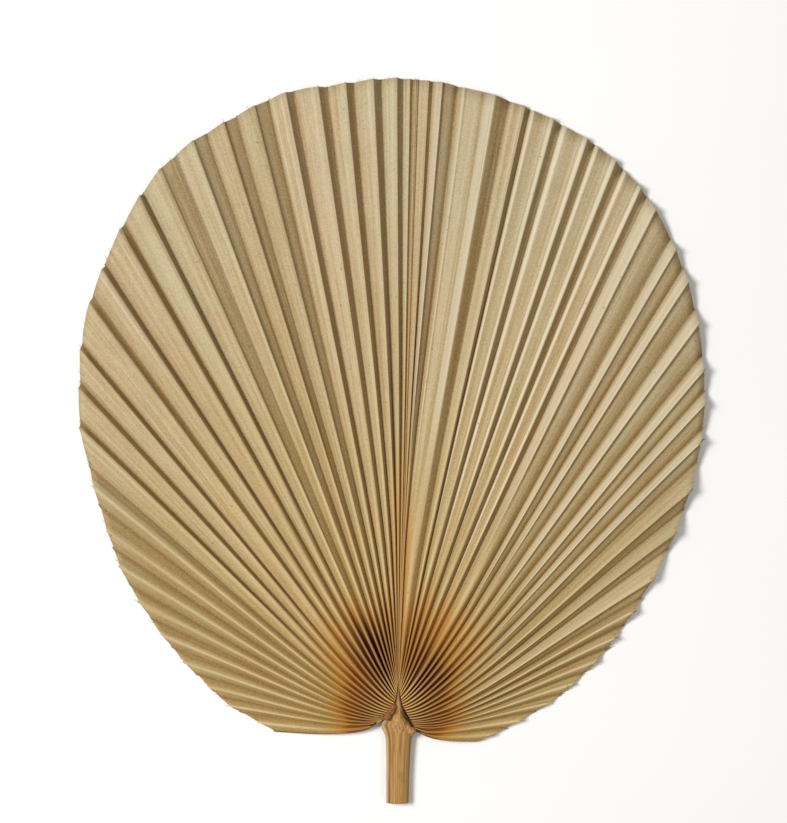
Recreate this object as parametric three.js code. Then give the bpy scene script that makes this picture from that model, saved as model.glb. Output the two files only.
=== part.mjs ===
// A dried fan palm leaf, trimmed to a round fan and cut off with a short piece of stalk.
// It lies face up. Millimetres, +Z up, +Y from the stalk to the fan's far edge, and the
// origin under the middle of the leaf. The outlines below are drawn from the hub, the
// place where the stalk's crest meets the fan.
import * as THREE from 'three';

// The fan
const PLEAT_COUNT = 52;
const SHEET_THICKNESS = 0.6;
const PLEAT_HEIGHT_AT_HUB = 1.2;
const PLEAT_HEIGHT_GAIN = 7.3;
const PLEAT_HEIGHT_LENGTH = 110;
const PLEAT_WIDTH_VARIATION = 0.16;
const RIM_UNEVENNESS = 1.3;
const HUB_RISE = 6;
const HUB_RISE_INNER = 10;
const HUB_RISE_OUTER = 110;
const LOBE_LIFT = 4;
const LOBE_LIFT_START = 105;
const LOBE_LIFT_END = 215;

// Folds leave the stalk sideways and swing into straight rays within this distance.
const FOLD_SWING_LENGTH = 26;
const RAY_CENTRE_X = 0.6;
const RAY_CENTRE_TOP = 21;
const RAY_CENTRE_DROP = 64;
const RAY_CENTRE_RETURN = 24;

// One pleat from left to right: flat valley, main ridge, shallow dip, second ridge.
// place is a share of the pleat's width, height a share of the pleat's height.
const PLEAT_PROFILE = [
  { place: 0.06, height: 0 },
  { place: 0.36, height: 1 },
  { place: 0.56, height: 0.62 },
  { place: 0.76, height: 0.9 },
  { place: 0.94, height: 0 },
];

// Shares of a fold's length, closer together where the folds curve.
const FOLD_STATIONS = [0, 0.012, 0.032, 0.075, 0.16, 0.34, 0.64, 1];

// Trimmed edge of the fan, from the left lobe over the top to the right lobe.
const RIM_OUTLINE = [
  [-79, -17], [-122, 12], [-172, 76], [-199, 160], [-203, 205], [-195, 262], [-152, 342],
  [-82, 388], [-42, 396], [0, 401], [40, 394], [81, 382], [128, 357], [162, 321],
  [183, 278], [194, 230], [196, 190], [190, 148], [172, 99], [139, 45], [82, -9], [52, -23],
];

// Where the fan grows out of the stalk: up the left side, then down the right side.
const LEFT_ATTACHMENT = [[-15.5, -14], [-11, -8], [-6.5, -3.5], [-3.2, 3], [-1.8, 12], [-0.9, 21], [0, 29]];
const RIGHT_ATTACHMENT = [[1.2, 29], [2.1, 21], [2.8, 12], [3.6, 3], [5.4, -3], [9, -9], [12, -16]];

// The stalk and its thin continuation, the costa, which shows up to COSTA_VISIBLE_END and
// then runs out under the fan. Each section is a rounded shape on the floor.
const STALK_SECTIONS = [
  { y: -63, bottomWidth: 14.2, topWidth: 12.6, height: 8.2 },
  { y: -45, bottomWidth: 14, topWidth: 12.6, height: 8.4 },
  { y: -28, bottomWidth: 14.2, topWidth: 13, height: 8.5 },
  { y: -19, bottomWidth: 15, topWidth: 14.4, height: 8.6 },
  { y: -14, bottomWidth: 16, topWidth: 15.4, height: 8.6 },
  { y: -8, bottomWidth: 15, topWidth: 10.4, height: 8.5 },
  { y: -3, bottomWidth: 13.4, topWidth: 6.6, height: 8.4 },
  { y: 3, bottomWidth: 11.6, topWidth: 3.8, height: 8.2 },
  { y: 12, bottomWidth: 9, topWidth: 2.4, height: 7.9 },
  { y: 26, bottomWidth: 6, topWidth: 1, height: 7.2 },
  { y: 28, bottomWidth: 5.6, topWidth: 1.2, height: 4.6 },
  { y: 60, bottomWidth: 1.6, topWidth: 0.8, height: 1.4 },
];
const STALK_SIDES = 20;
const STALK_ROUNDNESS = 0.75;

// The hastula, a woody crest that lies on the stalk's shoulders and points into the fan. Its
// top is a little smaller than its foot.
const HASTULA_OUTLINE = [
  [-8.2, -13], [-4.6, -8.5], [-1.6, -3.5], [0.5, 1.2], [2.8, -4], [5.4, -9.5], [7.8, -14.5],
];
const HASTULA_THICKNESS = 1.3;
const HASTULA_TOP_SCALE = 0.86;
const HASTULA_MIDDLE_Y = -8;
const TOUCHING_GAP = 0.3;
const STALK_TOP_AT_HASTULA = 8.6;

const bladeMaterial = new THREE.MeshStandardMaterial({ color: 0xc9b58c, roughness: 0.78, metalness: 0 });
const petioleMaterial = new THREE.MeshStandardMaterial({ color: 0xb8935a, roughness: 0.6, metalness: 0 });
const hastulaMaterial = new THREE.MeshStandardMaterial({ color: 0xa9794a, roughness: 0.7, metalness: 0 });

function curveThrough(points) {
  return new THREE.CatmullRomCurve3(points.map(([x, y]) => new THREE.Vector3(x, y, 0)));
}

const rimCurve = curveThrough(RIM_OUTLINE);
const leftAttachmentCurve = curveThrough(LEFT_ATTACHMENT);
const rightAttachmentCurve = curveThrough(RIGHT_ATTACHMENT);

// Left and right borders of every pleat, as shares of the rim's length. No two are alike.
function pleatBorders() {
  const widths = Array.from({ length: PLEAT_COUNT }, (_, pleat) => (
    1 + PLEAT_WIDTH_VARIATION * (Math.sin(2.4 * pleat) + Math.sin(5.3 * pleat + 1)) / 2
  ));
  const total = widths.reduce((sum, width) => sum + width, 0);
  const borders = [0];
  widths.forEach((width) => borders.push(borders[borders.length - 1] + width / total));
  return borders;
}

const borders = pleatBorders();

// Straight rays of the folds cross the leaf's middle line lower down the further they lean.
function rayCentre(rimPoint) {
  const lean = Math.abs(rimPoint.x) / Math.hypot(rimPoint.x, rimPoint.y);
  const y = RAY_CENTRE_TOP - RAY_CENTRE_DROP * lean + RAY_CENTRE_RETURN * lean ** 3;
  return new THREE.Vector3(RAY_CENTRE_X, y, 0);
}

function attachmentPoint(across) {
  return across < 0.5
    ? leftAttachmentCurve.getPointAt(across * 2)
    : rightAttachmentCurve.getPointAt(across * 2 - 1);
}

// Point in plan, at a share across the fan from left to right and a share along the fold.
function foldPoint(across, along, rimTrim) {
  const rimPoint = rimCurve.getPointAt(across);
  const centre = rayCentre(rimPoint);
  const length = rimPoint.distanceTo(centre) - rimTrim;
  const ray = rimPoint.sub(centre).setLength(length * along);
  const start = attachmentPoint(across).sub(centre);
  const swing = Math.exp(-along * length / FOLD_SWING_LENGTH) * (1 - along);
  return { point: centre.add(ray).addScaledVector(start, swing), distance: length * along };
}

// The fan's underside stands on the stalk at the hub and on the floor further out, and the
// two side lobes lift off the floor.
function valleyFloor(x, y) {
  const hubShare = 1 - THREE.MathUtils.smoothstep(Math.hypot(x, y), HUB_RISE_INNER, HUB_RISE_OUTER);
  const lobeShare = THREE.MathUtils.smoothstep(Math.abs(x), LOBE_LIFT_START, LOBE_LIFT_END);
  return HUB_RISE * hubShare + LOBE_LIFT * lobeShare;
}

function pleatHeight(distance) {
  return PLEAT_HEIGHT_AT_HUB + PLEAT_HEIGHT_GAIN * (1 - Math.exp(-distance / PLEAT_HEIGHT_LENGTH));
}

// A box splits its top and bottom cells along crossed diagonals. The underside's cells are
// split again to match the top, so the sheet keeps its thickness where a cell is twisted.
function matchUndersideCells(geometry) {
  const { index, groups } = geometry;
  const underside = groups[groups.length - 1];
  for (let i = underside.start; i < underside.start + underside.count; i += 6) {
    const [a, b, d] = [index.getX(i), index.getX(i + 1), index.getX(i + 2)];
    const c = index.getX(i + 4);
    [a, b, c, a, c, d].forEach((vertex, corner) => index.setX(i + corner, vertex));
  }
}

function makeBlade() {
  const columns = PLEAT_COUNT * PLEAT_PROFILE.length - 1;
  const rows = FOLD_STATIONS.length - 1;
  const geometry = new THREE.BoxGeometry(1, 1, 1, columns, rows, 1);
  matchUndersideCells(geometry);
  const position = geometry.attributes.position;
  for (let i = 0; i < position.count; i += 1) {
    const column = Math.round((position.getX(i) + 0.5) * columns);
    const row = Math.round((position.getY(i) + 0.5) * rows);
    const pleat = Math.floor(column / PLEAT_PROFILE.length);
    const corner = PLEAT_PROFILE[column % PLEAT_PROFILE.length];
    const across = THREE.MathUtils.lerp(borders[pleat], borders[pleat + 1], corner.place);
    const rimTrim = RIM_UNEVENNESS * (1 + Math.sin(1.9 * pleat));
    const { point, distance } = foldPoint(across, FOLD_STATIONS[row], rimTrim);
    const underside = valleyFloor(point.x, point.y) + corner.height * pleatHeight(distance);
    const isTop = position.getZ(i) > 0;
    position.setXYZ(i, point.x, point.y, underside + (isTop ? SHEET_THICKNESS : 0));
  }
  geometry.computeVertexNormals();
  return geometry;
}

function roundedPower(value) {
  return Math.sign(value) * Math.abs(value) ** STALK_ROUNDNESS;
}

function makePetiole() {
  const rows = STALK_SECTIONS.length - 1;
  const geometry = new THREE.CylinderGeometry(1, 1, 1, STALK_SIDES, rows);
  const position = geometry.attributes.position;
  for (let i = 0; i < position.count; i += 1) {
    const section = STALK_SECTIONS[Math.round((position.getY(i) + 0.5) * rows)];
    const across = roundedPower(position.getX(i));
    const up = (roundedPower(position.getZ(i)) + 1) / 2;
    const width = THREE.MathUtils.lerp(section.bottomWidth, section.topWidth, up);
    position.setXYZ(i, RAY_CENTRE_X + across * width / 2, section.y, up * section.height);
  }
  geometry.computeVertexNormals();
  return geometry;
}

function makeHastula() {
  const sides = curveThrough(HASTULA_OUTLINE).getPoints(24);
  const outline = new THREE.Shape(sides.map(({ x, y }) => new THREE.Vector2(x, y)));
  const geometry = new THREE.ExtrudeGeometry(outline, { depth: HASTULA_THICKNESS, bevelEnabled: false });
  const position = geometry.attributes.position;
  for (let i = 0; i < position.count; i += 1) {
    const scale = position.getZ(i) > 0 ? HASTULA_TOP_SCALE : 1;
    const y = HASTULA_MIDDLE_Y + (position.getY(i) - HASTULA_MIDDLE_Y) * scale;
    position.setXY(i, position.getX(i) * scale, y);
  }
  geometry.translate(0, 0, STALK_TOP_AT_HASTULA + TOUCHING_GAP);
  return geometry;
}

function namedMesh(name, geometry, material) {
  const mesh = new THREE.Mesh(geometry, material);
  mesh.name = name;
  return mesh;
}

const leaf = new THREE.Group();
leaf.add(namedMesh('blade', makeBlade(), bladeMaterial));
leaf.add(namedMesh('petiole', makePetiole(), petioleMaterial));
leaf.add(namedMesh('hastula', makeHastula(), hastulaMaterial));

// The outlines start at the hub, so the whole leaf moves to stand over its own middle.
const footprint = new THREE.Box3().setFromObject(leaf, true);
const middle = footprint.getCenter(new THREE.Vector3());
leaf.position.set(-middle.x, -middle.y, -footprint.min.z);

export default leaf;
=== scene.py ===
import math
import random

import bmesh
import bpy
from mathutils import Matrix, Vector, noise


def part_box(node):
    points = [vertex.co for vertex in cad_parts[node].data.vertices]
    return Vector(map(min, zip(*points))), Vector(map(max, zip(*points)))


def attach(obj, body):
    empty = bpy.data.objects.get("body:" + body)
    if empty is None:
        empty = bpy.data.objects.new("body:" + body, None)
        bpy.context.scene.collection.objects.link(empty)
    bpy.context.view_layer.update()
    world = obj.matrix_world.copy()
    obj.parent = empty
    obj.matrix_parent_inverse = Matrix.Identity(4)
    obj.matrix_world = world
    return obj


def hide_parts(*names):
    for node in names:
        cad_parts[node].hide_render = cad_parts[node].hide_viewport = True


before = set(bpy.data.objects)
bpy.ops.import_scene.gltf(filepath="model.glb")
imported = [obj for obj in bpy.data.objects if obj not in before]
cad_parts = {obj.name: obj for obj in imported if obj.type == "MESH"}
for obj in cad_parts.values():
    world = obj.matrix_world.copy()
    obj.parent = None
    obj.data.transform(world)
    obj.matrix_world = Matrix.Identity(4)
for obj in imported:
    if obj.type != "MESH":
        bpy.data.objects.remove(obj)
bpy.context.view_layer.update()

# Blender's noise vectors start from the clock unless they are seeded.
NOISE_SEED = 4
noise.seed_set(NOISE_SEED)

# A dried fan palm leaf, face up on a pale floor. The leaf's own shape is worked out in
# millimetres from the hub, where the stalk's crest meets the fan, and moved into the frame.
# A place round the fan runs from 0 at the left lower edge, over the top, to 1 at the right.
MM = 0.001
STALK_LENGTH = 63
# The folds point to a centre that sinks as they turn from upright to level, and over the
# first part of their length they swing from where they are attached to that straight line.
RAY_CENTRE_X = 0.6
RAY_CENTRE_TOP = 21
RAY_CENTRE_DROP = 64
RAY_CENTRE_RETURN = 24
FOLD_SWING_LENGTH = 26
# The stalk carries the middle of the leaf, and the two lobes lift a little at their sides.
HUB_RISE = 6
HUB_RISE_INNER = 10
HUB_RISE_OUTER = 110
LOBE_LIFT = 4
LOBE_LIFT_START = 105
LOBE_LIFT_END = 215

# The trimmed edge from the left lower corner to the right one, then the lines along which
# the folds are attached to the two sides of the stalk and its costa.
RIM_OUTLINE = [
    (-79, -18), (-121, 10), (-172, 77), (-199, 160), (-203, 205), (-195, 262), (-152, 342),
    (-83, 387), (-42, 396), (0, 401), (42, 395), (83, 382), (128, 357), (162, 321),
    (183, 278), (194, 230), (196, 190), (190, 148), (173, 98), (143, 47), (113, 12), (82, -9),
    (51, -24),
]
LEFT_ATTACHMENT = [
    (-11.5, -10.5), (-8, -8.6), (-4.6, -4.4), (-2.8, -0.5), (-1.5, 3), (-0.7, 7), (0.2, 15),
]
RIGHT_ATTACHMENT = [
    (0.7, 15), (1.4, 8.5), (2.1, 4.5), (3.3, -0.4), (5.4, -4.4), (7.8, -9.4), (10.4, -14.6),
]

stalk_low, stalk_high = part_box("petiole")
HUB = Vector((
    (stalk_low.x + stalk_high.x) / 2 - RAY_CENTRE_X * MM,
    stalk_low.y + STALK_LENGTH * MM,
    0,
))


def in_frame(x, y, z):
    """A point given in millimetres from the hub, as metres in the frame."""
    return HUB + Vector((x, y, z)) * MM


def smoothstep(value, start, end):
    """Rises from 0 at the start to 1 at the end with soft ends; the end may be the lower one."""
    share = min(max((value - start) / (end - start), 0), 1)
    return share * share * (3 - 2 * share)


def mix(a, b, share):
    return a + (b - a) * share


def bell(value, middle, width):
    """Falls from 1 at the middle towards 0, and is about a third at one width from it."""
    return math.exp(-(((value - middle) / width) ** 2))


def between(table, value):
    """Reads a short list of (place, value) pairs, easing from one to the next."""
    for (place, here), (next_place, there) in zip(table, table[1:]):
        if value <= next_place:
            return mix(here, there, smoothstep(value, place, next_place))
    return table[-1][1]


def new_object(name, bm, material):
    """Turns a finished bmesh into a piece at the origin, with its place in its mesh."""
    mesh = bpy.data.meshes.new(name)
    bm.to_mesh(mesh)
    bm.free()
    mesh.materials.append(material)
    piece = bpy.data.objects.new(name, mesh)
    bpy.context.collection.objects.link(piece)
    return piece


class SmoothPath:
    """A smooth curve through a few points, read by its share of length."""

    def __init__(self, points, steps=24):
        knots = [Vector(point) for point in points]
        knots = [2 * knots[0] - knots[1], *knots, 2 * knots[-1] - knots[-2]]
        self.points = []
        for a, b, c, d in zip(knots, knots[1:], knots[2:], knots[3:]):
            for step in range(steps):
                t = step / steps
                bend = (2 * a - 5 * b + 4 * c - d) * t * t + (3 * b - a - 3 * c + d) * t ** 3
                self.points.append((2 * b + (c - a) * t + bend) / 2)
        self.points.append(knots[-2])
        self.lengths = [0]
        for start, end in zip(self.points, self.points[1:]):
            self.lengths.append(self.lengths[-1] + (end - start).length)
        self.length = self.lengths[-1]

    def at(self, share):
        target = min(max(share, 0), 1) * self.length
        low, high = 0, len(self.lengths) - 1
        while high - low > 1:
            middle = (low + high) // 2
            if self.lengths[middle] > target:
                high = middle
            else:
                low = middle
        gap = self.lengths[high] - self.lengths[low]
        return self.points[low].lerp(self.points[high], (target - self.lengths[low]) / gap)


rim = SmoothPath(RIM_OUTLINE)
left_attachment = SmoothPath(LEFT_ATTACHMENT)
right_attachment = SmoothPath(RIGHT_ATTACHMENT)


# ---------------------------------------------------------------- materials

# Patterns are turned by these, in radians, so that none lines up with the piece it is on.
PATTERN_TURN = (0.6, 0.4, 0.3)
FIBRE_TURN = (0, 0, 0.35)


class Shading:
    """A material's node tree, built node by node."""

    def __init__(self, name):
        self.material = bpy.data.materials.new(name)
        self.material.use_nodes = True
        self.nodes = self.material.node_tree.nodes
        self.links = self.material.node_tree.links
        self.nodes.clear()

    def plug(self, node, socket, value):
        if isinstance(value, bpy.types.NodeSocket):
            self.links.new(value, node.inputs[socket])
        else:
            node.inputs[socket].default_value = value

    def add(self, kind, inputs, output=0, **settings):
        node = self.nodes.new("ShaderNode" + kind)
        for name, value in settings.items():
            setattr(node, name, value)
        for socket, value in inputs.items():
            self.plug(node, socket, value)
        return node.outputs[output]

    def math(self, operation, *values):
        return self.add("Math", dict(enumerate(values)), operation=operation)

    def attribute(self, name):
        return self.add("Attribute", {}, "Fac", attribute_name=name)

    def place(self, scale=(1, 1, 1), rotation=PATTERN_TURN):
        """Object coordinates, stretched and turned."""
        return self.stretch(self.add("TexCoord", {}, "Object"), scale, rotation)

    def stretch(self, vector, scale, rotation):
        return self.add("Mapping", {"Vector": vector, "Scale": scale, "Rotation": rotation})

    def fibre_lines(self, fibres, across, along):
        """The fibre coordinates, stretched to so many cycles per centimetre across and along."""
        return self.stretch(fibres, (across, along, 1), FIBRE_TURN)

    def noise(self, vector, scale=1.0, detail=2.0, roughness=0.5):
        inputs = {"Vector": vector, "Scale": scale, "Detail": detail, "Roughness": roughness}
        return self.add("TexNoise", inputs, "Fac")

    def ease(self, value, low, high, to_low=0.0, to_high=1.0):
        """Maps low..high of a value to to_low..to_high with soft ends."""
        inputs = {
            "Value": value,
            "From Min": low,
            "From Max": high,
            "To Min": to_low,
            "To Max": to_high,
        }
        return self.add("MapRange", inputs, interpolation_type="SMOOTHSTEP")

    def blend(self, share, first, second, mode="MIX"):
        node = self.nodes.new("ShaderNodeMix")
        node.data_type = "RGBA"
        node.blend_type = mode
        colour_inputs = [s for s in node.inputs if s.type == "RGBA"]
        self.plug(node, 0, share)
        for socket, value in zip(colour_inputs, (first, second)):
            if isinstance(value, bpy.types.NodeSocket):
                self.links.new(value, socket)
            else:
                socket.default_value = (*value, 1)
        return next(s for s in node.outputs if s.type == "RGBA")

    def bump(self, height, strength, depth_mm, normal=None):
        inputs = {"Height": height, "Strength": strength, "Distance": depth_mm * MM}
        if normal is not None:
            inputs["Normal"] = normal
        return self.add("Bump", inputs)

    def finish(self, colour, roughness, normal, specular):
        shader = self.nodes.new("ShaderNodeBsdfPrincipled")
        self.plug(shader, "Base Color", colour)
        self.plug(shader, "Roughness", roughness)
        self.plug(shader, "Normal", normal)
        shader.inputs["Specular IOR Level"].default_value = specular
        output = self.nodes.new("ShaderNodeOutputMaterial")
        self.links.new(shader.outputs[0], output.inputs[0])
        return self.material


def linear(red, green, blue):
    """A colour named by its everyday 0 to 255 values, as linear light."""
    return tuple(
        value / 255 / 12.92 if value <= 10 else ((value / 255 + 0.055) / 1.055) ** 2.4
        for value in (red, green, blue)
    )


STRAW_LIGHT = linear(194, 182, 152)
STRAW_DEEP = linear(164, 140, 98)
STRAW_PINK = linear(200, 172, 146)
STRAW_GREEN = linear(174, 176, 142)
# Pale flecks, and the painted highlights on the faces of the folds turned to the lamp.
STRAW_PALE_AND_HIGHLIGHT = linear(230, 219, 192)
# Painted highlight on the tops of the folds.
RIDGE_HIGHLIGHT_STRAW = linear(230, 204, 158)
THREAD_BROWN = linear(152, 124, 80)
THREAD_PALE = linear(212, 202, 172)
# Flecks, and the painted shade on the faces of the folds turned from the lamp.
FLECK_AND_SHADE_BROWN = linear(136, 101, 28)
# Specks, and the painted shade at the bottoms of the creases.
SPECK_AND_CREASE_SHADE_BROWN = linear(84, 54, 4)
AGED_GOLD = (0.98, 0.84, 0.5)
STAIN_GOLD = linear(184, 126, 42)
STAIN_BROWN = linear(124, 62, 3)
STAIN_MAROON = linear(48, 12, 0)
RIDGE_PINK = linear(166, 118, 90)
# Painted highlight on the ridge tops close to the hub.
HUB_HIGHLIGHT_GOLD = linear(226, 190, 116)
STALK_TAN = linear(190, 148, 86)
STALK_SHADOW = linear(136, 92, 42)
STALK_OLIVE = linear(160, 140, 70)
STALK_RUST = linear(196, 132, 76)
STALK_BRUISE = linear(122, 76, 34)
STALK_EDGE_PALE = linear(200, 178, 138)
# Brown edges and costa, and the painted shade in the groove.
STALK_BROWN_AND_GROOVE_SHADE = linear(104, 56, 22)
MOSS = linear(150, 136, 56)
ROSE = linear(176, 116, 88)
FRAYED_PALE = linear(196, 170, 120)
FRAYED_DARK = linear(150, 116, 70)
CREST_PALE = linear(196, 154, 94)
CREST_DARK = linear(146, 102, 50)
HUSK_BROWN = linear(166, 110, 62)
HUSK_DARK = linear(98, 54, 26)
# Blackened scraps, and the painted shadow strip by the crest.
BLACKENED_AND_SHADOW = linear(62, 26, 10)
BLACKENED_AND_SHADOW_DARK = linear(26, 10, 6)
SHOULDER_PINK = linear(196, 148, 96)
SHOULDER_DARK = linear(140, 92, 54)


def blade_material():
    """Straw with fibre lines, and what the leaf's own attributes add: painted shade and painted
    highlights on the folds, age and stains.
    """
    shade = Shading("dried_pleated_leaf")
    fibres = shade.add("UVMap", {}, "UV", uv_map="fibres")
    fold = shade.attribute("fold")
    brown = shade.attribute("brown")
    tone = shade.attribute("tone")
    hue = shade.attribute("hue")
    aged = shade.attribute("aged")
    stain = shade.attribute("stain")
    scorch = shade.attribute("scorch")

    veins = shade.noise(shade.fibre_lines(fibres, 9, 0.05), detail=5, roughness=0.75)
    bands = shade.noise(shade.fibre_lines(fibres, 2.6, 0.03), detail=2)
    tints = shade.noise(shade.fibre_lines(fibres, 4, 0.4), scale=1.3, detail=3)
    patches = shade.noise(shade.place(), scale=22, detail=3)
    flecks = shade.noise(shade.place(), scale=900, detail=2, roughness=0.7)
    grain = shade.noise(shade.fibre_lines(fibres, 26, 1.6), detail=2)

    # Plain straw, in streaks of several widths and tints.
    fine_share = shade.math("MULTIPLY", veins, 0.55)
    broad_share = shade.math("MULTIPLY", bands, 0.45)
    both = shade.math("ADD", fine_share, broad_share)
    straw = shade.blend(shade.ease(both, 0.34, 0.66), STRAW_DEEP, STRAW_LIGHT)
    tinted = shade.math("ADD", tints, shade.math("MULTIPLY", hue, 0.08))
    straw = shade.blend(shade.ease(tinted, 0.52, 0.72, 0, 0.55), straw, STRAW_PINK)
    straw = shade.blend(shade.ease(tinted, 0.46, 0.28, 0, 0.55), straw, STRAW_GREEN)
    straw = shade.blend(shade.ease(patches, 0.5, 0.75, 0, 0.25), straw, STRAW_DEEP)
    straw = shade.blend(shade.ease(tone, 0, -1, 0, 0.2), straw, STRAW_DEEP)

    # Painted shade on the faces turned from the lamp and in the creases, flecks, ageing, then
    # painted highlights on the faces turned to the lamp and on the tops of the folds, and threads
    # over them.
    straw = shade.blend(shade.ease(brown, 0, 1, 0, 0.6), straw, FLECK_AND_SHADE_BROWN)
    # Painted shade down in the creases.
    straw = shade.blend(shade.ease(fold, 0.2, 0.0, 0, 0.35), straw, SPECK_AND_CREASE_SHADE_BROWN)
    straw = shade.blend(shade.ease(flecks, 0.42, 0.7, 0, 0.16), straw, FLECK_AND_SHADE_BROWN)
    straw = shade.blend(shade.ease(flecks, 0.58, 0.3, 0, 0.16), straw, STRAW_PALE_AND_HIGHLIGHT)
    straw = shade.blend(aged, straw, AGED_GOLD, mode="MULTIPLY")
    straw = shade.blend(shade.ease(brown, 0, -1, 0, 0.85), straw, STRAW_PALE_AND_HIGHLIGHT)
    # Painted highlight along the tops of the folds.
    ridge_highlight = shade.math("MULTIPLY", shade.attribute("ridge_highlight"), shade.ease(fold, 0.74, 1, 0, 0.5))
    straw = shade.blend(ridge_highlight, straw, RIDGE_HIGHLIGHT_STRAW)
    threads = shade.noise(shade.fibre_lines(fibres, 6, 0.08), detail=4, roughness=0.8)
    straw = shade.blend(shade.ease(threads, 0.54, 0.7, 0, 0.4), straw, THREAD_BROWN)
    straw = shade.blend(shade.ease(threads, 0.46, 0.3, 0, 0.35), straw, THREAD_PALE)

    # The stain round the hub: golden first, then brown, then nearly black low in the folds. The
    # stain is the leaf's own, and its deepening low in the folds is painted shade.
    low_in_fold = shade.ease(fold, 0.95, 0.45)
    streaked = shade.math("ADD", stain, shade.ease(both, 0.3, 0.7, -0.15, 0.15))
    golden = shade.ease(streaked, 0.1, 0.8, 0, 0.85)
    golden = shade.math("MULTIPLY", golden, shade.ease(low_in_fold, 0, 1, 0.7, 1))
    straw = shade.blend(golden, straw, STAIN_GOLD)
    browned = shade.ease(streaked, 0.55, 1.1, 0, 0.9)
    browned = shade.math("MULTIPLY", browned, shade.ease(low_in_fold, 0, 1, 0.3, 1))
    straw = shade.blend(browned, straw, STAIN_BROWN)
    straw = shade.blend(shade.math("MULTIPLY", scorch, 0.5), straw, RIDGE_PINK)
    scorched = shade.math("MULTIPLY", scorch, shade.ease(low_in_fold, 0, 0.8, 0.1, 1))
    straw = shade.blend(scorched, straw, STAIN_MAROON)
    # Painted highlight: the ridge tops close to the hub are painted pale gold.
    hub_ridge_highlight = shade.math("MULTIPLY", shade.attribute("hub_ridge_highlight"), shade.ease(fold, 0.62, 1, 0, 0.6))
    straw = shade.blend(hub_ridge_highlight, straw, HUB_HIGHLIGHT_GOLD)

    # A few dark specks, and the fibres in relief.
    specks = shade.noise(shade.place(), scale=420, detail=1)
    straw = shade.blend(shade.ease(specks, 0.74, 0.8, 0, 0.5), straw, SPECK_AND_CREASE_SHADE_BROWN)

    roughness = shade.ease(veins, 0.3, 0.7, 0.78, 0.56)
    ribs = shade.bump(veins, 0.5, 0.35)
    normal = shade.bump(grain, 0.25, 0.12, ribs)
    return shade.finish(straw, roughness, normal, specular=0.14)


def stalk_material():
    """Strands along the stalk, olive and rust bands, and the edges and the painted shade in the
    groove set by the shade attribute.
    """
    shade = Shading("golden_stalk_fibre")
    fibres = shade.add("UVMap", {}, "UV", uv_map="fibres")
    edge = shade.attribute("shade")
    strands = shade.noise(shade.fibre_lines(fibres, 12, 0.2), detail=4, roughness=0.7)
    bands = shade.noise(shade.fibre_lines(fibres, 2.6, 0.12), detail=2)
    patches = shade.noise(shade.place(), scale=110, detail=3)
    colour = shade.blend(shade.ease(strands, 0.3, 0.66), STALK_SHADOW, STALK_TAN)
    colour = shade.blend(shade.ease(bands, 0.5, 0.7, 0, 0.5), colour, STALK_OLIVE)
    colour = shade.blend(shade.ease(bands, 0.45, 0.25, 0, 0.5), colour, STALK_RUST)
    colour = shade.blend(shade.ease(patches, 0.55, 0.75, 0, 0.4), colour, STALK_BRUISE)
    colour = shade.blend(shade.ease(edge, 0, 1, 0, 0.75), colour, STALK_EDGE_PALE)
    colour = shade.blend(shade.ease(edge, 0, -1, 0, 0.75), colour, STALK_BROWN_AND_GROOVE_SHADE)
    roughness = shade.ease(strands, 0.3, 0.7, 0.7, 0.45)
    normal = shade.bump(strands, 0.6, 0.4)
    return shade.finish(colour, roughness, normal, specular=0.35)


def tissue_material(name, base, dark, rough, mottling):
    """Short streaks from dark to base, with some moss green and rose where it is mottled."""
    shade = Shading(name)
    streaks = shade.place((1500, 240, 900), (0.1, 0.1, 0.1))
    strands = shade.noise(streaks, detail=4, roughness=0.65)
    patches = shade.noise(shade.place(), scale=260, detail=3)
    colour = shade.blend(shade.ease(strands, 0.34, 0.64), dark, base)
    colour = shade.blend(shade.ease(patches, 0.56, 0.7, 0, mottling), colour, MOSS)
    colour = shade.blend(shade.ease(patches, 0.42, 0.3, 0, mottling), colour, ROSE)
    roughness = shade.ease(strands, 0.3, 0.7, rough + 0.1, rough - 0.1)
    normal = shade.bump(strands, 0.7, 0.3)
    return shade.finish(colour, roughness, normal, specular=0.3)


# -------------------------------------------------------------------- blade

PLEAT_SEED = 11
FRAYING_SEED = 23
ROWS = 64
ROW_CROWDING = 1.6
SHEET_THICKNESS = 0.35
# A pleat narrower than this, in millimetres at the rim, stands lower than the others.
NARROW_PLEAT = 18
# How much pleats differ: in height, in where they open, and in where their inner folds lie.
RELIEF_VARIES = (0.88, 1)
OPENING_VARIES = 0.1
SLIP_VARIES = 0.04
# A pleat leaves the hub as a plain ridge and opens into its own profile between these shares of
# its length. The plain ridge is a sine to a power, which falls from the first value here to the
# second between these distances from the hub, in millimetres.
OPENS_FROM = 0.12
OPENS_TO = 0.5
YOUNG_SHARPNESS = (1.9, 0.9)
YOUNG_SOFTENS = (40, 110)
# The folds ripple a little: ripples round the fan, their length and their height in millimetres.
RIPPLES_ROUND = 90
RIPPLE_LENGTH = 45
RIPPLE_HEIGHT = 0.3
PLEAT_HEIGHT_AT_HUB = 1.6
PLEAT_HEIGHT_GAIN = 5.4
PLEAT_HEIGHT_LENGTH = 110
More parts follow.
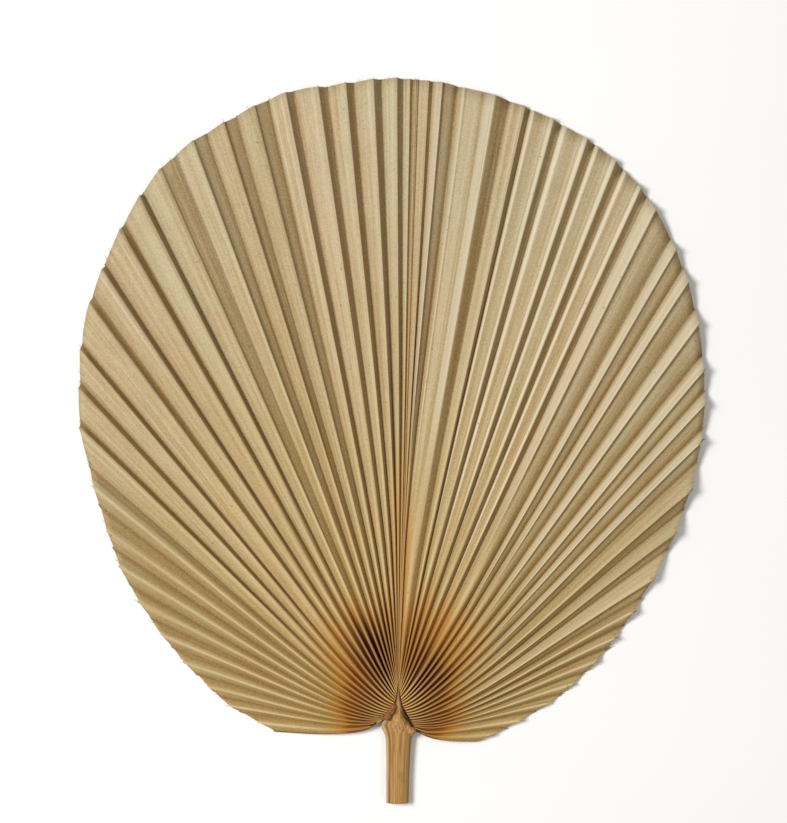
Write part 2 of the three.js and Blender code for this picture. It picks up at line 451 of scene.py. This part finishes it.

# The folds met across one pleat from left to right: place, rise, and how much shade is painted on
# it, on the faces turned from the lamp and down in the valleys, or, below zero, how much highlight.
PROFILES = {
    "soft": [
        (0, 0, 0.95), (0.1, 0.2, 0.6), (0.24, 0.5, 0.35), (0.36, 0.8, 0.2), (0.43, 0.97, 0),
        (0.48, 1, 0), (0.53, 0.94, 0.1), (0.62, 0.76, 0.35), (0.68, 0.7, 0.5), (0.76, 0.5, 0.55),
        (0.86, 0.25, 0.7), (0.94, 0.08, 0.9),
    ],
    "broad": [
        (0, 0.02, 1), (0.04, 0.12, 0.6), (0.11, 0.3, 0.3), (0.22, 0.46, 0), (0.3, 0.52, 0.1),
        (0.5, 0.74, 0), (0.7, 0.93, 0), (0.83, 1, 0), (0.86, 0.86, 0.6), (0.9, 0.5, 1),
        (0.94, 0.16, 1), (0.975, 0.02, 1),
    ],
    "stepped": [
        (0, 0, 0.4), (0.04, 0.12, 0.05), (0.2, 0.42, 0), (0.38, 0.74, 0), (0.5, 0.94, 0),
        (0.56, 1, 0), (0.59, 0.72, 1), (0.63, 0.6, 0.75), (0.74, 0.44, 0.5), (0.85, 0.26, 0.55),
        (0.93, 0.1, 0.7), (0.97, 0.03, 0.6),
    ],
    "crisp": [
        (0, 0, 0.4), (0.03, 0.1, 0), (0.16, 0.3, -0.2), (0.3, 0.5, 0.15), (0.34, 0.55, -0.1),
        (0.52, 0.8, -0.3), (0.66, 0.97, -0.1), (0.71, 1, -0.5), (0.74, 0.84, 0.9), (0.82, 0.5, 1),
        (0.9, 0.2, 1), (0.96, 0.05, 0.8),
    ],
    "twin": [
        (0, 0, 0.5), (0.04, 0.3, -0.4), (0.11, 0.44, -0.7), (0.19, 0.38, 0.25), (0.3, 0.36, 0.45),
        (0.46, 0.46, 0.45), (0.53, 0.62, -0.2), (0.57, 0.68, 0.2), (0.64, 0.92, -0.5),
        (0.72, 1, -0.75), (0.77, 0.8, 0.7), (0.88, 0.3, 1),
    ],
    "strand": [
        (0, 0, 1), (0.1, 0.2, 1), (0.3, 0.35, 0.9), (0.44, 0.6, 0.2), (0.5, 0.9, 0), (0.56, 1, 0),
        (0.64, 0.9, 0.1), (0.7, 0.6, 0.9), (0.76, 0.66, 0.3), (0.82, 0.7, 0), (0.88, 0.4, 0.8),
        (0.95, 0.1, 1),
    ],
    "hooked": [
        (0, 0, 0.3), (0.04, 0.16, -0.1), (0.16, 0.5, -0.45), (0.28, 0.84, -0.35), (0.35, 1, -0.6),
        (0.38, 0.74, 1), (0.42, 0.64, 0.7), (0.52, 0.56, 0.1), (0.66, 0.44, 0.3),
        (0.78, 0.32, 0.55), (0.87, 0.18, 0.9), (0.95, 0.04, 0.8),
    ],
    "wide": [
        (0, 0, 0.5), (0.04, 0.22, 0), (0.13, 0.5, -0.6), (0.16, 0.44, 0.5), (0.2, 0.5, -0.3),
        (0.36, 0.66, -0.3), (0.48, 0.78, 0.4), (0.51, 0.78, -0.4), (0.69, 1, -0.7),
        (0.73, 0.9, 0.7), (0.85, 0.45, 1), (0.95, 0.08, 1),
    ],
}

# The pleats from the left lobe over the top to the right lobe, with the width of each in
# millimetres at the rim.
PLEAT_RUNS = [
    ("soft", [25, 18, 20, 22, 24, 25, 25, 29, 26]),
    ("broad", [30, 25, 24, 32, 21, 29, 23]),
    ("stepped", [32, 24, 22, 23]),
    ("crisp", [17, 22, 17, 18, 14, 6]),
    ("strand", [4]),
    ("crisp", [9]),
    ("hooked", [16]),
    ("wide", [35]),
    ("crisp", [14]),
    ("twin", [22, 25, 24, 23]),
    ("hooked", [31, 21, 27, 30, 23, 24, 22]),
    ("stepped", [31, 27, 36]),
    ("soft", [20, 19, 20, 21, 20, 22, 20]),
]

# How far the folds lean along the rim on their way in to the hub, by place round the fan.
FOLD_LEAN = [
    (0, 0), (0.06, -0.009), (0.1, -0.014), (0.2, -0.02), (0.24, -0.009), (0.3, 0.004),
    (0.4, 0.006), (0.47, 0.013), (0.5, 0.003), (0.53, -0.025), (0.56, -0.006), (0.6, 0),
    (0.64, 0.006), (0.67, 0.02), (0.76, 0.026), (0.8, 0.048), (0.85, 0.05), (0.88, 0.046),
    (0.93, 0.04), (0.97, 0.022), (1, 0),
]
FOLD_LEAN_LIMIT = 0.6
# How far the two lower edges sag below a straight line, in millimetres: left, right. The sag
# fades out over this share of the fan.
MARGIN_SAG = (1.4, 2.2)
MARGIN_SHARE = 0.035
# Unevenness of the trimmed edge in millimetres, by place round the fan.
RIM_JAG = [
    (0, 2), (0.1, 1.4), (0.2, 0.7), (0.45, 0.5), (0.7, 0.8), (0.85, 1.7), (0.93, 2.2), (1, 1.4),
]
# How likely the rim is frayed, and how far it juts out there, by place round the fan.
FRAYING = [
    (0, 0.5), (0.1, 0.6), (0.25, 0.12), (0.6, 0.05), (0.72, 0.4), (0.8, 0.9), (0.93, 1), (1, 0.8),
]
# How far a frayed fold juts out, in millimetres: at least, at most.
FRAYED_REACH = (0.5, 4.5)
# The single vein ends that stand out of the rim: how many, and their sizes in millimetres. The
# root is the length that lies inside the leaf, and the spread is how far they splay.
FRAYED_ENDS = 170
FRAYED_END_SIDES = 3
FRAYED_END_FACES = FRAYED_END_SIDES + 2
FRAYED_END_RADII = (0.34, 0.05)
FRAYED_END_LENGTHS = (0.9, 3.6)
FRAYED_END_ROOT = 3
FRAYED_END_SPREAD = 0.22
# A vein end points the way that its fold runs beyond this share of the fold's length.
NEAR_RIM = 0.97
# How golden the leaf has aged, by distance from the hub in millimetres.
AGEING = [(0, 1), (45, 1), (80, 0.78), (160, 0.52), (240, 0.28), (340, 0.04), (420, 0)]
# How strong the painted highlight on the tops of the folds is, by distance from the hub in
# millimetres.
RIDGE_HIGHLIGHT_STRENGTH = [(0, 0), (30, 0), (70, 1), (130, 0.8), (200, 0.35), (300, 0.15), (400, 0)]
# How much lighter the folds right of the top are painted, by place round the fan: painted light
# that thins their painted shade and strengthens their painted highlights.
PAINTED_LIGHTENING = [(0, 0), (0.56, 0), (0.6, 0.1), (0.8, 0.1), (0.88, 0.34), (0.97, 0.36), (1, 0.2)]
# How high the pleats stand, by place round the fan: away from the hub, and near it.
RELIEF = [
    (0, 0.75), (0.12, 0.8), (0.22, 0.98), (0.76, 1), (0.82, 1.2), (0.88, 1.15), (0.95, 0.75),
    (1, 0.55),
]
HUB_RELIEF = [
    (0, 0.5), (0.15, 0.6), (0.3, 1), (0.46, 1), (0.49, 0.6), (0.54, 0.6), (0.57, 1), (0.75, 1),
    (0.85, 0.8), (1, 0.5),
]
# Clear height under the lowest folds, in millimetres.
FLOOR_GAP = 0.1


def ray_centre(rim_point):
    lean = abs(rim_point.x) / rim_point.length
    y = RAY_CENTRE_TOP - RAY_CENTRE_DROP * lean + RAY_CENTRE_RETURN * lean ** 3
    return Vector((RAY_CENTRE_X, y))


def attachment(across):
    if across < 0.5:
        return left_attachment.at(across * 2)
    return right_attachment.at(across * 2 - 1)


def valley_floor(x, y):
    hub_share = 1 - smoothstep(math.hypot(x, y), HUB_RISE_INNER, HUB_RISE_OUTER)
    lobe_share = smoothstep(abs(x), LOBE_LIFT_START, LOBE_LIFT_END)
    return HUB_RISE * hub_share + LOBE_LIFT * lobe_share


def pleat_height(distance):
    return PLEAT_HEIGHT_AT_HUB + PLEAT_HEIGHT_GAIN * (1 - math.exp(-distance / PLEAT_HEIGHT_LENGTH))


def plan(across, along, trim):
    """Where a fold is, seen from above, and how far that is along it."""
    leaning = min((1 - along) ** 2, FOLD_LEAN_LIMIT)
    across += between(FOLD_LEAN, across) * leaning
    rim_point = rim.at(across)
    centre = ray_centre(rim_point)
    ray = rim_point - centre
    distance = (ray.length - trim) * along
    swing = math.exp(-distance / FOLD_SWING_LENGTH) * (1 - along)
    point = centre + ray.normalized() * distance + (attachment(across) - centre) * swing
    left, right = MARGIN_SAG
    sag = left * (1 - smoothstep(across, 0, MARGIN_SHARE))
    sag += right * smoothstep(across, 1 - MARGIN_SHARE, 1)
    point.y -= sag * math.sin(math.pi * along ** 0.8)
    return point, distance


def make_columns():
    """Every line of points from the hub to the rim, with the facts that shape and colour it."""
    draw = random.Random(PLEAT_SEED)
    total = sum(sum(widths) for _, widths in PLEAT_RUNS)
    columns = []
    left = 0
    for kind, widths in PLEAT_RUNS:
        for width in widths:
            share = width / total
            middle = left + share / 2
            facts = {
                "hue": draw.uniform(-1, 1),
                "tone": draw.uniform(-1, 1),
                "opening": draw.uniform(-OPENING_VARIES, OPENING_VARIES),
                "hub_relief": between(HUB_RELIEF, middle),
                "relief": between(RELIEF, middle) * draw.uniform(*RELIEF_VARIES)
                * min(width / NARROW_PLEAT, 1),
                "trim": between(RIM_JAG, middle) * draw.uniform(0, 1),
                "strand": 0.5 if kind == "strand" else 0,
            }
            slip = draw.uniform(-SLIP_VARIES, SLIP_VARIES)
            for place, rise, brown in PROFILES[kind]:
                moved = place + slip * math.sin(math.pi * place)
                jag = between(RIM_JAG, middle) * draw.uniform(0, 0.35)
                if place == 0 or rise == 1:
                    jag -= between(FRAYING, middle) * draw.uniform(*FRAYED_REACH)
                columns.append({
                    **facts,
                    "across": left + share * moved,
                    "place": moved,
                    "rise": rise,
                    # Painted light: the folds right of the top get less painted shade and more
                    # painted highlight.
                    "brown": brown - between(PAINTED_LIGHTENING, middle) * (1 - brown),
                    "trim": facts["trim"] + jag,
                })
            left += share
    columns.append({**columns[-1], "across": 1, "place": 1, "rise": 0, "brown": 0.5})
    return columns


def fold_point(column, along):
    """Where a column is at one share of its length, in millimetres, and how it is folded there."""
    point, distance = plan(column["across"], along, column["trim"])
    sharpness = mix(*YOUNG_SHARPNESS, smoothstep(distance, *YOUNG_SOFTENS))
    young = math.sin(math.pi * column["place"]) ** sharpness
    opened = smoothstep(along, OPENS_FROM + column["opening"], OPENS_TO + column["opening"])
    fold = mix(young, column["rise"], opened)
    ripple_place = Vector((column["across"] * RIPPLES_ROUND, distance / RIPPLE_LENGTH, 0))
    ripple = noise.noise(ripple_place) * RIPPLE_HEIGHT
    relief = mix(column["hub_relief"], column["relief"], opened)
    height = valley_floor(*point) + fold * relief * (pleat_height(distance) + ripple)
    height += SHEET_THICKNESS / 2 + FLOOR_GAP
    return Vector((*point, height)), distance, fold, opened


def make_blade(columns):
    count = len(columns) - 1
    bm = bmesh.new()
    fibres = bm.loops.layers.uv.new("fibres")
    layers = {
        name: bm.verts.layers.float.new(name)
        for name in ("fold", "brown", "tone", "hue", "aged", "stain", "scorch", "hub_ridge_highlight", "ridge_highlight")
    }
    bmesh.ops.create_grid(bm, x_segments=count, y_segments=ROWS, size=0.5)
    flat = {}
    for vert in bm.verts:
        column = columns[round((vert.co.x + 0.5) * count)]
        along = (round((vert.co.y + 0.5) * ROWS) / ROWS) ** ROW_CROWDING
        place, distance, fold, opened = fold_point(column, along)
        flat[vert] = (column["across"] * rim.length / 10, distance / 10)
        # Painted shade: the right-hand half of a young ridge, turned from the lamp, is painted
        # browner.
        young_painted_shade = smoothstep(column["place"], 0.5, 0.75) * 0.8
        vert[layers["fold"]] = fold
        vert[layers["brown"]] = mix(young_painted_shade, column["brown"], opened)
        vert[layers["tone"]] = column["tone"]
        vert[layers["hue"]] = column["hue"]
        vert[layers["aged"]] = between(AGEING, place.xy.length)
        strand_stain = column["strand"] * (1 - 0.75 * smoothstep(place.y, 180, 360))
        vert[layers["stain"]] = max(hub_stain(place.xy, column), strand_stain)
        vert[layers["scorch"]] = hub_scorch(place.xy, column)
        # How strongly the ridge tops near the hub get painted highlight.
        vert[layers["hub_ridge_highlight"]] = 1 - smoothstep(place.xy.length, 8, 26)
        # How strong the painted highlight on the fold tops is here.
        vert[layers["ridge_highlight"]] = between(RIDGE_HIGHLIGHT_STRENGTH, place.xy.length)
        vert.co = in_frame(*place)
    for face in bm.faces:
        face.smooth = True
        for loop in face.loops:
            loop[fibres].uv = flat[loop.vert]
    blade = new_object("pleated_blade", bm, blade_material())
    thickness = blade.modifiers.new("leaf_thickness", "SOLIDIFY")
    thickness.thickness = SHEET_THICKNESS * MM
    thickness.offset = 0
    return blade


def make_rim_fibres(columns):
    """Short frayed ends of veins that stand out of the cut rim, most of them low on the right."""
    draw = random.Random(FRAYING_SEED)
    bm = bmesh.new()
    root_radius, tip_radius = FRAYED_END_RADII
    while len(bm.faces) < FRAYED_ENDS * FRAYED_END_FACES:
        column = draw.choice(columns)
        if draw.random() > between(FRAYING, column["across"]):
            continue
        tip, *_ = fold_point(column, 1)
        inner, *_ = fold_point(column, NEAR_RIM)
        length = draw.uniform(*FRAYED_END_LENGTHS)
        made = bmesh.ops.create_cone(
            bm, cap_ends=True, segments=FRAYED_END_SIDES, radius1=root_radius,
            radius2=tip_radius, depth=length + FRAYED_END_ROOT,
        )["verts"]
        outward = (tip - inner).normalized()
        spread = [draw.uniform(-FRAYED_END_SPREAD, FRAYED_END_SPREAD) for _ in range(3)]
        outward += Vector(spread)
        turn = outward.to_track_quat("Z", "Y").to_matrix()
        bmesh.ops.rotate(bm, verts=made, matrix=turn)
        middle = tip + outward.normalized() * (length - FRAYED_END_ROOT) / 2
        bmesh.ops.translate(bm, verts=made, vec=middle)
    for vert in bm.verts:
        vert.co = in_frame(*vert.co)
    skin = tissue_material("frayed_vein_ends", FRAYED_PALE, FRAYED_DARK, 0.7, 0.2)
    return new_object("frayed_rim_fibres", bm, skin)


# The stain round the hub: how far it reaches, how much further above the hub, and how much the
# pleats differ in it, in millimetres.
STAIN_REACH = 52
STAIN_REACH_ABOVE = 36
STAIN_REACH_VARIES = 8
# How wide the golden middle line is at the hub, in millimetres, and how brown it may turn, on a
# scale where 1 is the whole stain.
MIDDLE_LINE_WIDTH = 2.6
MIDDLE_STAIN_LIMIT = 0.6
# The two nearly black patches: the angle of the middle of each and its width, in degrees from
# the right, then how far it reaches and how far it takes to fade, in millimetres.
LEFT_SCORCH = (111, 25)
LEFT_SCORCH_REACH = 40
LEFT_SCORCH_FADE = 34
RIGHT_SCORCH = (42, 32)
RIGHT_SCORCH_REACH = 20
RIGHT_SCORCH_FADE = 30


def middle_share(point, width):
    """How near a point is to the fan's middle line, which stays golden down to the crest."""
    return bell(point.x, 0.4 + 0.018 * point.y, width + 0.03 * point.y) * smoothstep(point.y, 5, 20)


def hub_stain(point, column):
    """How strongly the leaf has browned at a point: round the hub, and up the middle from it."""
    reach = STAIN_REACH + STAIN_REACH_ABOVE * smoothstep(point.y, 0, 60)
    reach += STAIN_REACH_VARIES * column["tone"]
    round_hub = 1 - smoothstep(point.length, reach * 0.35, reach * 1.15)
    near_hub = 0.45 * (1 - smoothstep(point.length, 16, 46))
    lower_left = 0.3 * smoothstep(-point.x, 4, 14) * (1 - smoothstep(point.y, -14, 2))
    up_middle = middle_share(point, 4.4) * (1 - smoothstep(point.y, 100, 220))
    stain = max(round_hub * (1 + lower_left) + near_hub, 0.7 * up_middle)
    return mix(stain, min(stain, MIDDLE_STAIN_LIMIT), middle_share(point, MIDDLE_LINE_WIDTH))


def hub_scorch(point, column):
    """How nearly black the folds are, in two patches to the left and right above the hub."""
    angle = math.degrees(math.atan2(point.y, point.x))
    reach = LEFT_SCORCH_REACH - 14 * smoothstep(angle, 105, 150) + 5 * column["tone"]
    left = bell(angle, *LEFT_SCORCH) * smoothstep(point.length, reach + LEFT_SCORCH_FADE, reach)
    reach = RIGHT_SCORCH_REACH + 6 * column["tone"]
    right = bell(angle, *RIGHT_SCORCH) * smoothstep(point.length, reach + RIGHT_SCORCH_FADE, reach)
    low = 0.6 * (1 - smoothstep(point.length, 14, 36)) * (1 - bell(angle, 88, 14))
    golden = 0.8 * middle_share(point, MIDDLE_LINE_WIDTH)
    return min(max(left, 0.85 * right, low), 1) * smoothstep(point.length, 4, 13) * (1 - golden)


# ------------------------------------------------------------ stalk and crest

STALK_SIDES = 48
STALK_RINGS = 110
STALK_ROUNDNESS = 0.75
STALK_RADIUS_CM = 0.76
# Where the groove runs, as an angle round the stalk in radians from its right side, over the top.
GROOVE_ANGLE = 2.42
# Its pale edges and its redder side: angle and width, in the same way.
PALE_LEFT_TOP = (2.78, 0.22)
PALE_LEFT_FOOT = (-2.95, 0.3)
RED_RIGHT = (0.2, 0.45)
RED_KNOT = (0.5, 0.5)
# How far up the stalk, in millimetres, the groove begins and is whole, and the knots lie.
GROOVE_TOP = 8
GROOVE_WHOLE = -14
KNOTS_AT = -15.5
# (y, left edge, right edge, share of the width left at the top, height) in millimetres.
STALK_SECTIONS = [
    (-63, -7.7, 7.5, 0.88, 8.1), (-45, -7.7, 8, 0.88, 8.2),
    (-33, -7.7, 8.5, 0.9, 8.3), (-22, -7.9, 9.2, 0.92, 8.5), (-18.5, -8.7, 9.8, 0.95, 8.5),
    (-15.5, -9.7, 10.8, 0.95, 8.4), (-12.5, -10.6, 10.2, 0.9, 8), (-9, -9.8, 8.2, 0.7, 7.6),
    (-4.5, -5.4, 6, 0.6, 7.6), (0, -3, 4.2, 0.5, 7.9), (6, -1.7, 2.7, 0.45, 7.6),
    (12, -1, 2, 0.45, 7.4), (20, -0.5, 1.5, 0.5, 7.2), (29, -0.2, 1.2, 0.5, 6.9),
    (36, 0, 1, 0.5, 6.2),
]


def rounded_power(value):
    """Squares up the stalk's round section a little."""
    return math.copysign(abs(value) ** STALK_ROUNDNESS, value)


def make_stalk():
    """The stalk, grown ring by ring from its cut end, with the costa as its thin far end."""
    sections = SmoothPath(STALK_SECTIONS)
    bm = bmesh.new()
    fibres = bm.loops.layers.uv.new("fibres")
    shade_layer = bm.verts.layers.float.new("shade")
    bmesh.ops.create_circle(bm, cap_ends=True, segments=STALK_SIDES, radius=1)
    upright = Matrix.Rotation(math.pi / 2, 3, "X")
    bmesh.ops.rotate(bm, verts=bm.verts, matrix=upright)
    end = bm.faces[:][0]
    for ring in range(STALK_RINGS):
        grown = bmesh.ops.extrude_face_region(bm, geom=[end])["geom"]
        if ring > 0:
            bmesh.ops.delete(bm, geom=[end], context="FACES_ONLY")
        end = next(part for part in grown if isinstance(part, bmesh.types.BMFace))
        bmesh.ops.translate(bm, verts=end.verts[:], vec=(0, 1, 0))
    bmesh.ops.recalc_face_normals(bm, faces=bm.faces)
    flat = {}
    for vert in bm.verts:
        y, left, right, crown, height = sections.at(vert.co.y / STALK_RINGS)
        angle = math.atan2(vert.co.z, vert.co.x)
        groove = 0.13 * bell(angle, GROOVE_ANGLE, 0.13) * smoothstep(y, GROOVE_TOP, GROOVE_WHOLE)
        rib = 1 - groove + 0.015 * math.sin(11 * angle + 0.8 * math.sin(y / 9))
        lumps = noise.noise(Vector((angle * 1.5, y / 3.5, 4))) * 0.9 * bell(y, KNOTS_AT, 5)
        across = rounded_power(math.cos(angle)) * rib
        up = (rounded_power(math.sin(angle)) * rib + 1) / 2
        half_width = (right - left) / 2 * mix(1, crown, min(max(up, 0), 1))
        wobble = 0.2 * noise.noise(Vector((angle, y / 14, 2)))
        x = (left + right) / 2 + across * (half_width + lumps) + wobble
        flat[vert] = (angle * min((right - left) / 20, STALK_RADIUS_CM), y / 10)
        vert.co = in_frame(x, y, up * (height + lumps * 0.4))
        pale = bell(angle, *PALE_LEFT_TOP) + bell(angle, *PALE_LEFT_FOOT)
        red = bell(angle, *RED_RIGHT) + bell(y, -15, 3.5) * bell(angle, *RED_KNOT)
        # Painted shade: the groove is painted darker along its bottom.
        dark = bell(angle, GROOVE_ANGLE, 0.12) * smoothstep(y, GROOVE_TOP, GROOVE_WHOLE)
        costa = smoothstep(y, -6, 10)
        vert[shade_layer] = (pale - 0.6 * red) * (1 - costa) - 1.2 * dark - 0.7 * costa
    for face in bm.faces:
        face.smooth = len(face.verts) == 4
        for loop in face.loops:
            loop[fibres].uv = flat[loop.vert]
    return new_object("fibrous_stalk", bm, stalk_material())


SCRAP_CUTS = 4
SCRAP_SMOOTHINGS = 3
SCRAP_GRAIN = 2.2


def make_scrap(name, outline, heights, taper, slope, roughness_mm, material, seed):
    """A small slab, of dried tissue and once of painted shadow: an outline in millimetres, raised,
    narrowed and made ragged.

    Its top falls by the slope with each millimetre towards the cut end of the stalk.
    """
    low, high = heights
    bm = bmesh.new()
    corners = [bm.verts.new((x, y, low)) for x, y in outline]
    slab = bm.faces.new(corners)
    middle = sum((corner.co for corner in corners), Vector()) / len(corners)
    grown = bmesh.ops.extrude_face_region(bm, geom=[slab])["geom"]
    top = [part for part in grown if isinstance(part, bmesh.types.BMVert)]
    bmesh.ops.translate(bm, verts=top, vec=(0, 0, high - low))
    lowered = Matrix.Translation((-middle.x, -middle.y, 0))
    bmesh.ops.scale(bm, verts=top, vec=(taper, taper, 1), space=lowered)
    bmesh.ops.triangulate(bm, faces=bm.faces)
    bmesh.ops.subdivide_edges(bm, edges=bm.edges, cuts=SCRAP_CUTS, use_grid_fill=True)
    bmesh.ops.recalc_face_normals(bm, faces=bm.faces)
    for _ in range(SCRAP_SMOOTHINGS):
        bmesh.ops.smooth_vert(
            bm, verts=bm.verts, factor=0.5, use_axis_x=True, use_axis_y=True, use_axis_z=True
        )
    for vert in bm.verts:
        spot = vert.co / SCRAP_GRAIN + Vector((seed, 0, 0))
        vert.co += noise.noise_vector(spot) * roughness_mm
        vert.co.z += slope * (vert.co.y - outline[0][1])
        vert.co.z += noise.noise(spot * 2.3) * roughness_mm * 0.4
        vert.co = in_frame(*vert.co)
    for face in bm.faces:
        face.smooth = True
    return new_object(name, bm, material)


CREST_OUTLINE = [
    (1.3, -1.4), (4.4, -7), (7.8, -12.8), (8, -17), (5.4, -21.4), (1, -23.4), (-3.4, -21.4),
    (-6, -16), (-5, -11.6), (-3.4, -7.6), (-1, -4.2),
]
TORN_HUSK_OUTLINE = [
    (-2.3, 2.6), (0.6, -0.6), (-0.6, -3.4), (-3.6, -7.4), (-4.9, -10.9), (-7.6, -10), (-10.8, -9.8),
    (-12.4, -7.8), (-8.4, -5.8), (-5.2, -3.2),
]
# A dark strip of painted shadow along the crest's right edge.
CREST_SHADOW_OUTLINE = [(2.8, -2.2), (3.6, -2.8), (7.2, -8.6), (10.3, -14.2), (9.4, -14.8), (6.2, -9.4)]
SHOULDER_OUTLINE = [
    (4.4, -10.6), (8.4, -11.4), (11.2, -13.8), (14, -16.8), (11.6, -18.2), (10, -21.4),
    (7.4, -21), (5, -18.6), (3, -14.6),
]
LEFT_FLAKE_OUTLINE = [(-19, -14), (-16.6, -12.6), (-13.6, -10.6), (-12.4, -11.4), (-15.4, -13.6)]
RIGHT_FLAKE_OUTLINE = [(10.4, -15.4), (12.6, -15.6), (15.8, -17.6), (13.2, -17.6), (10.6, -17.2)]


def keep(piece, slot, *replaced):
    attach(piece, "root")
    if replaced:
        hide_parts(*replaced)


columns = make_columns()
keep(make_blade(columns), "blade", "blade")
keep(make_rim_fibres(columns), "blade")
keep(make_stalk(), "petiole", "petiole")

crest_skin = tissue_material("pale_crest_tissue", CREST_PALE, CREST_DARK, 0.55, 0.5)
torn_skin = tissue_material("torn_brown_husk", HUSK_BROWN, HUSK_DARK, 0.75, 0.15)
# Blackened scraps, and the painted shadow strip by the crest.
blackened_and_shadow_skin = tissue_material("blackened_scraps_and_crest_shadow", BLACKENED_AND_SHADOW, BLACKENED_AND_SHADOW_DARK, 0.85, 0.05)
lump_skin = tissue_material("pinkish_shoulder", SHOULDER_PINK, SHOULDER_DARK, 0.6, 0.5)

# The crest and the scraps at the hub: name, outline, heights of foot and top, how much of the
# outline the top keeps, how far it falls per millimetre, raggedness, skin and seed.
SCRAPS = [
    ("raised_crest", CREST_OUTLINE, (7.8, 10.5), 0.55, 0.12, 0.35, crest_skin, 3),
    ("torn_husk", TORN_HUSK_OUTLINE, (7.4, 10), 0.6, 0, 0.6, torn_skin, 8),
    # Painted shadow: a dark strip along the crest's right edge, where the crest throws its shade.
    ("dark_split", CREST_SHADOW_OUTLINE, (8, 9.2), 0.85, 0, 0.1, blackened_and_shadow_skin, 5),
    ("shoulder_lump", SHOULDER_OUTLINE, (5.4, 9.9), 0.55, 0.05, 0.7, lump_skin, 6),
    ("left_flake", LEFT_FLAKE_OUTLINE, (6.6, 7.4), 0.8, 0, 0.3, blackened_and_shadow_skin, 1),
    ("right_flake", RIGHT_FLAKE_OUTLINE, (7, 7.8), 0.8, 0, 0.3, blackened_and_shadow_skin, 2),
]
for name, *shape in SCRAPS:
    replaced = ["hastula"] if name == "raised_crest" else []
    keep(make_scrap(name, *shape), "hastula", *replaced)


# ---------------------------------------------------- floor, light and camera

FLOOR_HALF_SIZE = 3
FLOOR_DARKER = (0.94, 0.94, 0.94)
FLOOR_PALER = (0.96, 0.96, 0.96)
LAMP_WHITE = (1, 0.985, 0.96)
ROOM_WHITE = (1, 0.99, 0.97, 1)
ROOM_STRENGTH = 0.29


def make_floor():
    bm = bmesh.new()
    bmesh.ops.create_grid(bm, x_segments=1, y_segments=1, size=FLOOR_HALF_SIZE)
    shade = Shading("pale_floor")
    tint = shade.noise(shade.place(), scale=3)
    colour = shade.blend(shade.ease(tint, 0.3, 0.7), FLOOR_DARKER, FLOOR_PALER)
    normal = shade.bump(tint, 0.02, 0.1)
    floor = new_object("pale_floor", bm, shade.finish(colour, 0.8, normal, specular=0.1))


def add_light(name, location, size, power):
    """A round lamp, in metres and watts, that faces the middle of the leaf."""
    data = bpy.data.lights.new(name, "AREA")
    data.shape = "DISK"
    data.size = size
    data.energy = power
    data.color = LAMP_WHITE
    light = bpy.data.objects.new(name, data)
    light.location = location
    light.rotation_mode = "QUATERNION"
    light.rotation_quaternion = Vector(location).to_track_quat("Z", "Y")
    bpy.context.collection.objects.link(light)


def make_studio():
    make_floor()
    add_light("key", (-1.23, 0.28, 1.8), 0.8, 43)
    add_light("fill", (1.2, -0.7, 1.7), 1, 7)
    world = bpy.data.worlds.new("soft_room")
    world.use_nodes = True
    background = world.node_tree.nodes["Background"]
    background.inputs["Color"].default_value = ROOM_WHITE
    background.inputs["Strength"].default_value = ROOM_STRENGTH
    bpy.context.scene.world = world
    bpy.context.scene.view_settings.view_transform = "Standard"
    bpy.context.scene.view_settings.look = "None"


# The view's height over its width, its width in metres at the middle of the leaf's height, and
# the point that it is centred on.
FRAME_ASPECT = 823 / 787
VIEW_WIDTH = 0.503
VIEW_CENTRE = (0.0006, 0.0185, 0.005)
LENS = 85


def make_camera():
    """Looks straight down on the leaf, through a long lens."""
    data = bpy.data.cameras.new("camera")
    data.lens = LENS
    distance = VIEW_WIDTH * FRAME_ASPECT * LENS / data.sensor_width
    camera = bpy.data.objects.new("camera", data)
    camera.location = Vector(VIEW_CENTRE) + Vector((0, 0, distance))
    bpy.context.collection.objects.link(camera)
    bpy.context.scene.camera = camera


make_studio()
make_camera()
